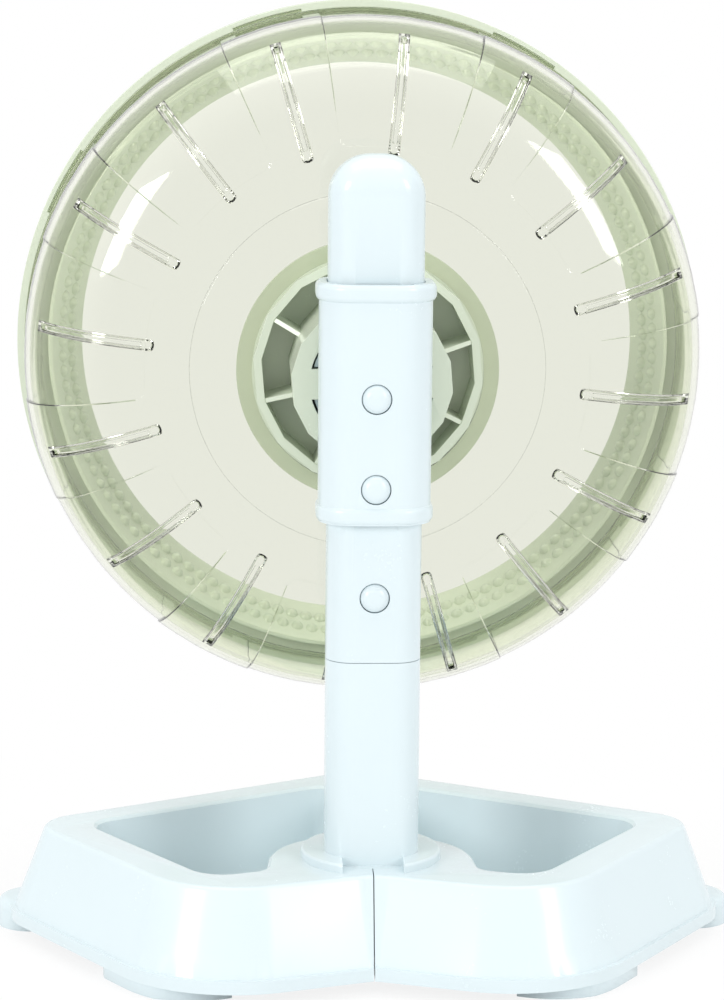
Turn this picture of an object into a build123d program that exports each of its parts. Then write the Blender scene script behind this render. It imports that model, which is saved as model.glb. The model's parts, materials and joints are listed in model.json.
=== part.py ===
from build123d import *
import math
import os

# Rodent exercise wheel: a clear drum that turns on ball bearings, hung from a sleeve that
# slides up a post, on a base of two food bowls. Sizes are in millimetres. While it is
# modelled, the origin is on the floor under the middle of the post, +X is to the right as
# seen from behind the wheel, +Y points out of the wheel's mouth and +Z is up.

# Base: the top outline of both bowls together, as corners of its right half
base_height = 31.0
seam_near_y = -19.2
near_corner = (49.1, -36.3)
far_corner = (98.5, 36.75)
seam_far_y = 94.1
seam_near_radius = 14.0
near_radius = 28.0
far_radius = 12.0
seam_far_radius = 12.0
seam_gap = 0.3
wall_flare = 10.2
moulding_wall = 2.2
rim_edge_radius = 1.8

# Skirt round the foot of the base, and the lobes it stands on
skirt_lift = 4.0
skirt_height = 3.7
outer_foot_centre = (97.5, 38.5)
outer_foot_radius = 10.5
outer_foot_height = 8.2
outer_foot_crown = 3.0
near_foot_centre = (50.0, -9.0)
near_foot_radius = 25.0
near_foot_inset = 1.5
near_foot_width = 8.0
near_foot_overlap = 0.6

# Bowl pockets
bowl_depth = 24.5
bowl_draft = 7.0
far_rim = 10.4
outer_rim = 12.4
near_rim = 14.6
bowl_seam_wall = 4.4
bowl_corner_radius = 8.0
bowl_lobe_radius = 10.5
bowl_floor_radius = 3.5
bowl_mouth_chamfer = 0.8
lobe_inner_corner = (29.6, -14.0)
pad_centre = (4.4, -4.0)
pad_radius = 24.3

# Post, in two pieces
post_width = 26.3
post_depth = 21.0
post_corner = 7.5
post_wall = 2.0
post_split_height = 88.7
post_top = 228.0
dome_width_radius = 11.5
dome_depth_radius = 9.0
dome_steps = 9
split_gap = 0.15
spigot_clearance = 0.1
spigot_wall = 1.8
spigot_margin = 8.7
foot_flange_radius = 19.7
foot_flange_height = 2.5
foot_notch_width = 17.0
plug_radius = 13.0
plug_depth = 22.0
plug_clearance = 0.1
socket_wall = 2.6
clamp_radius = 17.6
clamp_thickness = 2.0
screw_circle = 8.5
base_screw_count = 3
base_screw_radius = 1.5
base_screw_head_radius = 2.8
base_screw_head_height = 2.0
base_screw_length = 14.0

# Sleeve that carries the wheel up and down the post
sleeve_clearance = 0.3
sleeve_wall = 2.05
sleeve_bottom = 127.6
sleeve_top = 193.5
bead_height = 5.0
top_bead_step = 1.0
bottom_bead_step = 0.65
bead_radius = 1.6
stop_slot_offset = 8.1
stop_slot_width = 3.2
stop_slot_depth = 1.0
stop_slot_length = 10.0
boss_radius = 8.5
boss_length = 6.0
boss_edge_radius = 0.8

# Press buttons
button_radius = 4.0
button_dome = 1.5
button_clearance = 0.15
button_flange_radius = 5.2
button_flange_thickness = 1.0
button_travel = 2.0
button_heights = (137.6, 162.4)
post_button_height = 107.0
spring_strip = 0.3
spring_width = 5.0
spring_half_length = 4.6
post_spring_drop = 13.0
bracket_thickness = 0.8
bracket_half_height = 5.9
bracket_width = 11.4
spring_room = 1.1
channel_clearance = 0.3

# Wheel axis and bearings; the ball bearings are the common 8 x 22 x 7 mm size
axis_height = 163.0
axle_radius = 4.0
bearing_radius = 11.0
bearing_width = 7.0
bearing_pitch_radius = 7.5
ball_radius = 1.98
ball_count = 7
groove_clearance = 0.05
inner_ring_radius = 6.05
outer_ring_bore = 9.0
shield_thickness = 0.3
shield_gap = 0.15
shield_recess = 0.25
cage_half_width = 1.2
cage_start = 0.3
cage_end = 2.7
shoulder_radius = 5.5
shoulder_width = 1.0
axle_root_radius = 6.0
axle_root_length = 3.0
boss_skin = 1.6
axle_end_gap = 0.2
spacer_wall = 1.5
spacer_length = 22.0
washer_radius = 5.9
washer_thickness = 0.8
axle_screw_radius = 2.0
axle_screw_head_radius = 3.6
axle_screw_head_height = 2.5
axle_screw_length = 14.0
fit = 0.01

# Bearing carrier, the pale blue disc in the hub's collar
carrier_radius = 16.9
carrier_rib_bore = 9.0
carrier_lip = 0.6
carrier_tail_radius = 17.4
carrier_tail_length = 6.0
ring_groove_depth = 0.6
retaining_ring_width = 1.2
retaining_ring_inner = 9.6
retaining_ring_gap = 10.0
key_slot_clearance = 0.3
key_slot_length = 3.6

# Hub
hub_sides = 16
rib_phase = 6.3
collar_radius = 22.8
collar_bore = 17.5
collar_start = 15.4
hub_rim_start = 40.9
hub_rim_radius = 33.3
hub_rim_wall = 2.4
hub_floor_start = 56.6
hub_floor_thickness = 2.4
hub_hole_radius = 13.0
hub_flange_radius = 38.0
hub_flange_thickness = 2.0
gusset_count = 8
gusset_thickness = 1.3
gusset_collar_start = 37.5
gusset_drop = 0.6
snap_tab_width = 8.6
snap_tab_inner = 14.9
snap_tab_angle = 89.0
cap_radius = 24.0
cap_height = 3.6
cap_crown = 2.4
cap_spigot_wall = 1.5
cap_spigot_length = 2.2

# Drum
drum_wall = 2.0
drum_back = 42.4
back_step_radius = 51.0
back_step = 0.5
drum_corner = 35.0
drum_mouth_radius = 102.3
drum_taper = 0.9
drum_mouth = 112.2
drum_hole_clearance = 0.2
snap_bead_height = 1.2
snap_bead_setback = 3.6
snap_bead_width = 2.2
rib_count = 16
rib_width = 3.3
rib_height = 2.0
rib_groove_width = 1.7
rib_groove_depth = 1.2
rib_inner_radius = 62.0
rib_end = 61.5
panel_count = 8
panel_half_angle = 13.8
panel_inner_radius = 64.5
panel_depth = 0.4
panel_setback = 4.7

# Front ring
lip_overhang = 2.7
ring_wall = 2.0
ring_skirt_wall = 1.3
ring_skirt_overlap = 6.2
ring_projection = 11.6
ring_opening_inset = 18.7
ring_shoulder_rise = 3.0
ring_crest_inset = 8.5
ring_crest_rise = 7.4
ring_cone_inset = 10.0
ring_cone_wall = 1.6
ring_hook_gap = 0.4
ring_slot_angle = 12.0
ring_clearance = 0.2


def rounded_outline(corners):
    """Closed face through the corners (x, y, radius), each rounded by a tangent arc."""
    starts = []
    middles = []
    ends = []
    for index, (x, y, radius) in enumerate(corners):
        here = Vector(x, y)
        before = Vector(*corners[index - 1][:2])
        after = Vector(*corners[(index + 1) % len(corners)][:2])
        back = (before - here).normalized()
        on = (after - here).normalized()
        half = math.radians(back.get_angle(on)) / 2
        reach = radius / math.tan(half)
        starts.append(here + back * reach)
        ends.append(here + on * reach)
        middles.append(here + (back + on).normalized() * (radius / math.sin(half) - radius))
    edges = []
    for index, corner in enumerate(corners):
        if corner[2] > 0:
            edges.append(ThreePointArc(starts[index], middles[index], ends[index]))
        edges.append(Line(ends[index], starts[(index + 1) % len(corners)]))
    return make_face(edges)


def grown_corners(corners, distance):
    """The same outline moved outwards all round; hollow corners lose what round ones gain."""
    grown = []
    for index, (x, y, radius) in enumerate(corners):
        before = corners[index - 1]
        after = corners[(index + 1) % len(corners)]
        inward = Vector(x - before[0], y - before[1]).normalized()
        onward = Vector(after[0] - x, after[1] - y).normalized()
        normal_in = Vector(inward.Y, -inward.X)
        normal_on = Vector(onward.Y, -onward.X)
        shift = (normal_in + normal_on) * (distance / (1 + normal_in.dot(normal_on)))
        turn = inward.X * onward.Y - inward.Y * onward.X
        new_radius = radius + distance if turn > 0 else radius - distance
        grown.append((x + shift.X, y + shift.Y, max(new_radius, 0)))
    return grown


def rounded_block(width, depth, radius, bottom, top):
    """Upright block with rounded vertical edges, centred on the post."""
    section = RectangleRounded(width, depth, radius)
    return Pos(0, 0, bottom) * extrude(section, top - bottom)


def turned(corners):
    """Solid of revolution about the wheel axis from corners (radius, y, rounding)."""
    section = Plane.XZ * rounded_outline(corners)
    return revolve(section, Axis.Z)


def disc(radius, start, end, bore=0):
    """Plain disc or ring on the wheel axis."""
    solid = Pos(0, 0, start) * extrude(Circle(radius), end - start)
    if bore > 0:
        solid -= Pos(0, 0, start) * extrude(Circle(bore), end - start)
    return solid


def clock_angle(degrees):
    """Turns a clock angle, seen from behind the wheel, into one for the turned frame."""
    return degrees - 90


def spread(solid, count, first):
    """Copies of a solid round the wheel axis, the first one at the given clock angle."""
    return [Rot(0, 0, clock_angle(first + 360 * index / count)) * solid for index in range(count)]


def on_wheel_axis(solid):
    """Lays a solid that was made round Z along the wheel's own axis."""
    return Pos(0, 0, axis_height) * Rot(-90, 0, 0) * solid


# Base

base_corners = [
    (0, seam_near_y, seam_near_radius),
    (near_corner[0], near_corner[1], near_radius),
    (far_corner[0], far_corner[1], far_radius),
    (0, seam_far_y, seam_far_radius),
    (-far_corner[0], far_corner[1], far_radius),
    (-near_corner[0], near_corner[1], near_radius),
]
base_span = 2 * (far_corner[0] + wall_flare + outer_foot_radius)
base_draft = math.degrees(math.atan(wall_flare / (base_height - skirt_lift)))
clamp_top = base_height - plug_depth


def base_block(growth, bottom, top, draft):
    """Solid in the outline of the base, grown at its foot and leaning in as it rises."""
    outline = rounded_outline(grown_corners(base_corners, growth))
    return Pos(0, 0, bottom) * extrude(outline, top - bottom, taper=draft)


def edge_line(start, end, inset):
    """A side of the base's top outline moved inwards, as a point and a direction."""
    way = (Vector(*end) - Vector(*start)).normalized()
    point = Vector(*start) + Vector(-way.Y, way.X) * inset
    return point, way


def crossing(first, second):
    """The point where two lines, each a point and a direction, cross."""
    (p, u), (q, v) = first, second
    reach = ((q.X - p.X) * v.Y - (q.Y - p.Y) * v.X) / (u.X * v.Y - u.Y * v.X)
    return p + u * reach


def pocket_outline(growth):
    """Mouth of the right bowl: straight far and outer sides, a round lobe near the front,
    and an S-shaped inner side that swings round the pad under the post."""
    far_side = edge_line(far_corner, (0, seam_far_y), far_rim - growth)
    outer_side = edge_line(near_corner, far_corner, outer_rim - growth)
    near_side = edge_line((0, seam_near_y), near_corner, near_rim - growth)
    seam_side = (Vector(bowl_seam_wall - growth, 0), Vector(0, 1))
    inner_x = lobe_inner_corner[0] - growth
    inner_side = (Vector(inner_x, 0), Vector(0, 1))
    pad_reach = pad_radius - growth
    lobe_tip = crossing(outer_side, near_side)
    lobe_inner = crossing(near_side, inner_side)
    pad_start = Vector(pad_centre[0] + pad_reach, pad_centre[1])
    pad_end = Vector(pad_centre[0], pad_centre[1] + pad_reach)
    swing = math.sqrt(0.5)
    pad_middle = Vector(pad_centre[0] + pad_reach * swing, pad_centre[1] + pad_reach * swing)
    far_tip = crossing(outer_side, far_side)
    far_inner = crossing(far_side, seam_side)
    pad_seam = Vector(far_inner.X, pad_end.Y)
    edges = [
        Line(pad_end, pad_seam),
        Line(pad_seam, far_inner),
        Line(far_inner, far_tip),
        Line(far_tip, lobe_tip),
        Line(lobe_tip, lobe_inner),
        Line(lobe_inner, pad_start),
        ThreePointArc(pad_start, pad_middle, pad_end),
    ]
    if (pad_end - pad_seam).length < fit:
        edges = edges[1:]
    face = make_face(edges)
    roundings = [
        (lobe_tip, bowl_lobe_radius + growth),
        (lobe_inner, bowl_lobe_radius * 0.6 + growth),
        (far_tip, bowl_corner_radius + growth),
        (far_inner, bowl_corner_radius + growth),
    ]
    for point, radius in roundings:
        nearest = face.vertices().sort_by_distance(point)[0]
        face = fillet(nearest, radius)
    return face


def near_foot():
    """Low lobe under the rounded front corner of a bowl, set in from the skirt's edge."""
    disc_face = Pos(*near_foot_centre) * Circle(near_foot_radius)
    inside = rounded_outline(grown_corners(base_corners, wall_flare - near_foot_inset))
    behind = rounded_outline(grown_corners(base_corners, wall_flare - near_foot_inset - near_foot_width))
    return extrude((disc_face & inside) - behind, skirt_lift + near_foot_overlap)


def outer_foot():
    """Round lobe at the bowl's outer corner, with a crowned top."""
    lobe = extrude(Pos(*outer_foot_centre) * Circle(outer_foot_radius), outer_foot_height)
    return fillet(lobe.edges().sort_by(Axis.Z)[-1], outer_foot_crown)


def pocket_block(growth, depth):
    """The bowl's hollow, or the skin round it, tapering down from the rim."""
    outline = pocket_outline(growth)
    return Pos(0, 0, base_height) * extrude(outline, depth, dir=(0, 0, -1), taper=bowl_draft)


def mouth_chamfer():
    """Cutter that eases the bowl's upper edge at 45 degrees."""
    outline = pocket_outline(bowl_mouth_chamfer)
    return Pos(0, 0, base_height) * extrude(outline, bowl_mouth_chamfer, dir=(0, 0, -1), taper=45)


def right_bowl():
    """Flared thin wall, skirt, pocket, half socket for the post, and feet."""
    half_space = Pos(seam_gap / 2, 0, 0) * Box(
        base_span, base_span, base_height * 2, align=(Align.MIN, Align.CENTER, Align.MIN)
    )
    shell = base_block(wall_flare, skirt_lift, base_height, base_draft)
    shell += base_block(wall_flare, skirt_lift, skirt_lift + skirt_height, 0)
    rim_edges = shell.faces().sort_by(Axis.Z)[-1].outer_wire().edges()
    shell = fillet(rim_edges, rim_edge_radius) & half_space
    hollow = base_block(wall_flare - moulding_wall, 0, base_height - moulding_wall, base_draft)
    shell -= hollow & Pos(moulding_wall, 0, 0) * half_space
    tub = pocket_block(moulding_wall, bowl_depth + moulding_wall)
    socket = extrude(Circle(plug_radius + socket_wall), plug_depth)
    shell += (tub + Pos(0, 0, base_height - plug_depth) * socket) & half_space
    shell += outer_foot()
    shell += near_foot()
    pocket = pocket_block(0, bowl_depth)
    floor_edges = pocket.faces().sort_by(Axis.Z)[0].outer_wire().edges()
    shell -= fillet(floor_edges, bowl_floor_radius)
    shell -= mouth_chamfer()
    shell -= Cylinder(plug_radius + plug_clearance, base_height * 3)
    shell -= Pos(0, 0, clamp_top) * extrude(Circle(clamp_radius + plug_clearance), -base_height)
    return shell


# Post

spigot_width = post_width - 2 * (post_wall + spigot_clearance)
spigot_depth = post_depth - 2 * (post_wall + spigot_clearance)
spigot_corner = post_corner - post_wall - spigot_clearance
spigot_inner_face = spigot_depth / 2 - spigot_wall
lift_travel = button_heights[1] - button_heights[0]
sleeve_inner_face = post_depth / 2 + sleeve_clearance
bracket_depth = button_flange_thickness + button_travel + spring_room + bracket_thickness
bracket_back = sleeve_inner_face - bracket_depth
channel_floor = bracket_back - channel_clearance
channel_width = bracket_width + 2 * channel_clearance
channel_bottom = button_heights[0] - bracket_half_height - channel_clearance
channel_top = button_heights[1] + bracket_half_height + channel_clearance + lift_travel


def near_side_hole(radius, height):
    """Cutter for a round hole through the walls on the post's near side."""
    return Pos(0, 0, height) * Rot(90, 0, 0) * extrude(Circle(radius), post_depth)


def on_screw_circle(solid):
    """Copies of a solid at each screw under the base."""
    turns = [Rot(0, 0, 90 + 360 * index / base_screw_count) for index in range(base_screw_count)]
    return [turn * Pos(screw_circle, 0, 0) * solid for turn in turns]


def post_foot():
    """Lower post: plug for the base, notched round flange, hollow body and spigot."""
    flange = Pos(0, 0, base_height) * extrude(Circle(foot_flange_radius), foot_flange_height)
    flange = fillet(flange.edges().sort_by(Axis.Z)[-1], foot_flange_height / 3)
    flange -= Pos(0, -post_depth / 2, base_height) * Box(
        foot_notch_width, post_depth, post_depth, align=(Align.CENTER, Align.MAX, Align.CENTER)
    )
    spigot_top = post_button_height + spigot_margin
    foot = rounded_block(post_width, post_depth, post_corner, base_height, post_split_height)
    foot += flange
    foot += Pos(0, 0, clamp_top) * extrude(Circle(plug_radius), plug_depth)
    foot += rounded_block(spigot_width, spigot_depth, spigot_corner, base_height, spigot_top)
    foot -= rounded_block(
        spigot_width - 2 * spigot_wall,
        spigot_depth - 2 * spigot_wall,
        spigot_corner - spigot_wall,
        base_height + foot_flange_height,
        spigot_top + split_gap,
    )
    foot -= near_side_hole(button_radius + button_clearance, post_button_height)
    pilot = extrude(Circle(base_screw_radius + fit), base_screw_length)
    foot -= on_screw_circle(Pos(0, 0, clamp_top - clamp_thickness) * pilot)
    return foot


def domed_post(bottom):
    """Outer form of the upper post: straight sides that turn over into a pillow-shaped top.
    Each slice of the top is as wide and as deep as two quarter circles leave it."""
    dome_start = post_top - dome_width_radius
    slices = []
    for step in range(dome_steps + 1):
        tilt = math.pi / 2 * step / dome_steps
        height = dome_width_radius * math.sin(tilt)
        climb = max(0, height - dome_width_radius + dome_depth_radius)
        width = post_width - 2 * dome_width_radius * (1 - math.cos(tilt))
        depth = post_depth - 2 * (dome_depth_radius - math.sqrt(dome_depth_radius**2 - climb**2))
        outline = RectangleRounded(width, depth, post_corner * depth / post_depth)
        slices.append(Pos(0, 0, dome_start + height) * outline)
    return rounded_block(post_width, post_depth, post_corner, bottom, dome_start) + loft(slices)


def post_upper():
    """Upper post: hollow, with a domed top and a channel behind the sleeve."""
    bottom = post_split_height + split_gap
    half_depth = post_depth / 2
    post = domed_post(bottom)
    post -= rounded_block(
        post_width - 2 * post_wall,
        post_depth - 2 * post_wall,
        post_corner - post_wall,
        bottom,
        post_top - dome_width_radius - post_wall,
    )
    lining = Pos(0, -channel_floor + post_wall, channel_bottom - post_wall) * Box(
        channel_width + 2 * post_wall,
        half_depth - channel_floor + post_wall - split_gap,
        channel_top - channel_bottom + 2 * post_wall,
        align=(Align.CENTER, Align.MAX, Align.MIN),
    )
    post += lining & rounded_block(post_width, post_depth, post_corner, bottom, post_top)
    post -= Pos(0, -channel_floor, channel_bottom) * Box(
        channel_width,
        post_depth,
        channel_top - channel_bottom,
        align=(Align.CENTER, Align.MAX, Align.MIN),
    )
    post -= near_side_hole(button_radius + button_clearance, post_button_height)
    return post


def clamp_disc():
    """Flat disc under the base that pulls both bowls up against the post's flange."""
    plate = Pos(0, 0, clamp_top - clamp_thickness) * extrude(Circle(clamp_radius), clamp_thickness)
    hole = Cylinder(base_screw_radius + plug_clearance, base_height)
    plate -= on_screw_circle(Pos(0, 0, clamp_top) * hole)
    return plate


def base_screws():
    """Pan-head screws that go up through the clamp disc into the post's plug."""
    head = extrude(Circle(base_screw_head_radius), -base_screw_head_height)
    head = fillet(head.edges().sort_by(Axis.Z)[0], base_screw_head_height / 3)
    slot = Box(base_screw_head_radius, base_screw_head_height / 4, base_screw_head_height)
    head -= Pos(0, 0, -base_screw_head_height) * (slot + Rot(0, 0, 90) * slot)
    screw = head + extrude(Circle(base_screw_radius), base_screw_length - fit)
    return on_screw_circle(Pos(0, 0, clamp_top - clamp_thickness) * screw)


# Sleeve

sleeve_half_width = post_width / 2 + sleeve_clearance + sleeve_wall
sleeve_half_depth = post_depth / 2 + sleeve_clearance + sleeve_wall
sleeve_corner = post_corner + sleeve_clearance + sleeve_wall
boss_end = sleeve_half_depth + boss_length
root_start = sleeve_inner_face + boss_skin


def sleeve_bead(step, bottom):
    """Rounded band round one end of the sleeve."""
    band = rounded_block(
        2 * (sleeve_half_width + step),
        2 * (sleeve_half_depth + step),
        sleeve_corner + step,
        bottom,
        bottom + bead_height,
    )
    flat_faces = band.faces().sort_by(Axis.Z)
    return fillet(flat_faces[0].edges() + flat_faces[-1].edges(), bead_radius)


def sleeve():
    """Sliding sleeve with its two beads, button holes and the boss that holds the axle."""
    body = rounded_block(
        2 * sleeve_half_width, 2 * sleeve_half_depth, sleeve_corner, sleeve_bottom, sleeve_top
    )
    body += sleeve_bead(bottom_bead_step, sleeve_bottom)
    body += sleeve_bead(top_bead_step, sleeve_top - bead_height)
    boss = disc(boss_radius, sleeve_inner_face + sleeve_wall / 2, boss_end)
    boss = fillet(boss.edges().sort_by(Axis.Z)[-1], boss_edge_radius)
    body += on_wheel_axis(boss)
    body -= rounded_block(
        post_width + 2 * sleeve_clearance,
        post_depth + 2 * sleeve_clearance,
        post_corner + sleeve_clearance,
        sleeve_bottom - bead_height,
        sleeve_top + bead_height,
    )
    for height in button_heights:
        body -= near_side_hole(button_radius + button_clearance, height)
    for side in (-1, 1):
        body -= Pos(side * stop_slot_offset, -sleeve_inner_face, sleeve_top) * Box(
            stop_slot_width, 2 * stop_slot_depth, 2 * stop_slot_length
        )
    root_room = disc(axle_root_radius + fit, root_start - fit, root_start + axle_root_length + fit)
    root_room += disc(axle_radius + fit, root_start, boss_end + boss_length)
    body -= on_wheel_axis(root_room)
    return body


# Buttons and their springs

def button(height, flange_face, shell_face):
    """Domed button with a flange that stops it behind the wall; it faces the near side."""
    section = rounded_outline(
        [
            (0, flange_face - button_flange_thickness, 0),
            (button_flange_radius, flange_face - button_flange_thickness, 0),
            (button_flange_radius, flange_face, 0),
            (button_radius, flange_face, 0),
            (button_radius, shell_face + button_dome, button_radius - button_dome),
            (0, shell_face + button_dome, 0),
        ]
    )
    return Pos(0, 0, height) * Rot(90, 0, 0) * revolve(Plane.XZ * section, Axis.Z)


def side_plane(height):
    """Drawing plane seen from the side: its first axis points up, its second to the near side."""
    return Plane((0, 0, height), x_dir=(0, 0, 1), z_dir=(1, 0, 0))


def bowed_spring(height):
    """Bowed steel strip between a sleeve button's flange and its bracket."""
    seat = bracket_back + bracket_thickness + fit
    crown = sleeve_inner_face - button_flange_thickness - fit
    tip = seat + spring_strip
    over = ThreePointArc((-spring_half_length, tip), (0, crown), (spring_half_length, tip))
    under = ThreePointArc((-spring_half_length, seat), (0, crown - spring_strip), (spring_half_length, seat))
    ends = [Line(over @ 0, under @ 0), Line(over @ 1, under @ 1)]
    section = make_face([over, under] + ends)
    return extrude(side_plane(height) * section, spring_width / 2, both=True)


def spring_bracket(height):
    """Bent strip that is staked inside the sleeve and backs a button's spring."""
    plate_face = bracket_back + bracket_thickness
    reach = sleeve_inner_face - fit
    section = rounded_outline(
        [
            (-bracket_half_height, bracket_back, bracket_thickness),
            (bracket_half_height, bracket_back, bracket_thickness),
            (bracket_half_height, reach, 0),
            (bracket_half_height - bracket_thickness / 2, reach, 0),
            (bracket_half_height - bracket_thickness / 2, plate_face, 0),
            (-bracket_half_height + bracket_thickness / 2, plate_face, 0),
            (-bracket_half_height + bracket_thickness / 2, reach, 0),
            (-bracket_half_height, reach, 0),
        ]
    )
    return extrude(side_plane(height) * section, bracket_width / 2, both=True)


def post_button_spring():
    """U-shaped steel strip inside the spigot that pushes the post's button out."""
    front = button_flange_thickness - spigot_inner_face + fit
    back = spigot_inner_face - fit
    top = post_button_height + spring_half_length
    bottom = post_button_height - post_spring_drop
    bend = (back - front) / 2 - spring_strip
    outside = rounded_outline(
        [(front, top, 0), (front, bottom, bend), (back, bottom, bend), (back, top, 0)]
    )
    inside = rounded_outline(
        [
            (front + spring_strip, top + spring_strip, 0),
            (front + spring_strip, bottom + spring_strip, bend - spring_strip),
            (back - spring_strip, bottom + spring_strip, bend - spring_strip),
            (back - spring_strip, top + spring_strip, 0),
        ]
    )
    return extrude(Plane.YZ * (outside - inside), spring_width / 2, both=True)


# Axle and bearings, in the frame that turns

bearing_starts = (
    boss_end + shoulder_width,
    boss_end + shoulder_width + bearing_width + spacer_length,
)
stack_end = bearing_starts[1] + bearing_width
washer_end = stack_end + washer_thickness
carrier_start = bearing_starts[0] - 2 * retaining_ring_width
carrier_end = stack_end + carrier_lip


def axle():
    """Steel axle with its moulded-in root, a shoulder and a tapped end."""
    shaft = disc(axle_root_radius, root_start, root_start + axle_root_length)
    shaft += disc(axle_radius, root_start, stack_end - axle_end_gap)
    shaft += disc(shoulder_radius, boss_end, bearing_starts[0])
    tapped_depth = axle_screw_length - washer_thickness + axle_end_gap
    shaft -= disc(axle_screw_radius + fit, stack_end - tapped_depth, stack_end)
    return shaft


def axle_washer():
    """Washer that holds the inner rings and the spacer on the axle."""
    return disc(washer_radius, stack_end, washer_end, axle_screw_radius + plug_clearance)


def axle_screw():
    """Pan-head screw in the axle's end."""
    head = disc(axle_screw_head_radius, washer_end, washer_end + axle_screw_head_height)
    head = fillet(head.edges().sort_by(Axis.Z)[-1], axle_screw_head_height / 3)
    slot = Box(axle_screw_head_radius, axle_screw_head_height / 4, axle_screw_head_height)
    head -= Pos(0, 0, washer_end + axle_screw_head_height) * (slot + Rot(0, 0, 90) * slot)
    return head + disc(axle_screw_radius, washer_end - axle_screw_length + fit, washer_end)


def bearing_spacer():
    """Tube that keeps the two inner rings apart."""
    start = bearing_starts[0] + bearing_width
    return disc(axle_radius + fit + spacer_wall, start, bearing_starts[1], axle_radius + fit)


def ball_track(middle):
    """The ring that the balls roll in, slightly larger than the balls."""
    return Pos(0, 0, middle) * Torus(bearing_pitch_radius, ball_radius + groove_clearance)


def inner_rings():
    """Inner rings of both ball bearings."""
    rings = []
    for start in bearing_starts:
        ring = disc(inner_ring_radius, start, start + bearing_width, axle_radius + fit)
        rings.append(ring - ball_track(start + bearing_width / 2))
    return rings


def shield_edges(start):
    """Where the two shields of a bearing begin, a little inside its side faces."""
    return (start + shield_recess, start + bearing_width - shield_recess - shield_thickness)


def outer_rings():
    """Outer rings of both ball bearings, with a groove for each shield."""
    rings = []
    for start in bearing_starts:
        ring = disc(bearing_radius, start, start + bearing_width, outer_ring_bore)
        for edge in shield_edges(start):
            ring -= disc(outer_ring_bore + shield_thickness, edge, edge + shield_thickness)
        rings.append(ring - ball_track(start + bearing_width / 2))
    return rings


def bearing_shields():
    """Thin shields that close both sides of each bearing."""
    rim = outer_ring_bore + shield_thickness - fit
    eye = inner_ring_radius + shield_gap
    edges = [edge for start in bearing_starts for edge in shield_edges(start)]
    return [disc(rim, edge, edge + shield_thickness, eye) for edge in edges]


def around_pitch(solid, middle):
    """Copies of a solid at each ball of the bearing whose middle plane is given."""
    steps = [Rot(0, 0, 360 * index / ball_count) for index in range(ball_count)]
    return [Pos(0, 0, middle) * step * Pos(bearing_pitch_radius, 0, 0) * solid for step in steps]


def bearing_balls():
    """Steel balls of both bearings."""
    balls = []
    for start in bearing_starts:
        balls += around_pitch(Sphere(ball_radius), start + bearing_width / 2)
    return balls


def bearing_cages():
    """Crown cages: a ring beside the balls, with a pocket for each."""
    cages = []
    for start in bearing_starts:
        middle = start + bearing_width / 2
        cage = disc(
            bearing_pitch_radius + cage_half_width,
            middle + cage_start,
            middle + cage_end,
            bearing_pitch_radius - cage_half_width,
        )
        for pocket in around_pitch(Sphere(ball_radius + groove_clearance), middle):
            cage -= pocket
        cages += cage.solids()
    return cages


# Carrier and hub

def key_blocks(width, inner, start, end):
    """The pair of blocks across the collar, for the snap tabs and for their slots."""
    reach = collar_bore + hub_rim_wall / 2
    block = Pos(inner, 0, start) * Box(
        reach - inner, width, end - start, align=(Align.MIN, Align.CENTER, Align.MIN)
    )
    return spread(block, 2, snap_tab_angle)


def bearing_carrier():
    """Sleeve with both bearing seats, a retaining groove and slots for the hub's tabs."""
    first_end = bearing_starts[0] + bearing_width
    body = disc(carrier_radius, carrier_start, carrier_end)
    body += disc(carrier_tail_radius, carrier_end - carrier_tail_length, carrier_end)
    body -= disc(bearing_radius + fit, carrier_start, first_end)
    body -= disc(carrier_rib_bore, first_end, bearing_starts[1])
    body -= disc(bearing_radius + fit, bearing_starts[1], carrier_end)
    groove_start = bearing_starts[0] - retaining_ring_width
    body -= disc(bearing_radius + ring_groove_depth, groove_start, bearing_starts[0])
    body -= key_blocks(
        snap_tab_width + 2 * key_slot_clearance,
        snap_tab_inner - key_slot_clearance,
        carrier_start,
        carrier_start + key_slot_length,
    )
    return body


def retaining_ring():
    """Open spring ring that holds the first bearing in the carrier."""
    start = bearing_starts[0] - retaining_ring_width + fit
    rim = bearing_radius + ring_groove_depth - fit
    ring = disc(rim, start, bearing_starts[0] - fit, retaining_ring_inner)
    gap = Pos(0, bearing_radius, start) * Box(retaining_ring_gap, bearing_radius, bearing_width)
    return ring - gap


def hub_polygon(radius, start, end):
    """Prism with the hub's many flat sides, its corners in line with the drum's ribs."""
    section = Rot(0, 0, clock_angle(rib_phase)) * RegularPolygon(radius, hub_sides)
    return Pos(0, 0, start) * extrude(section, end - start)


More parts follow.
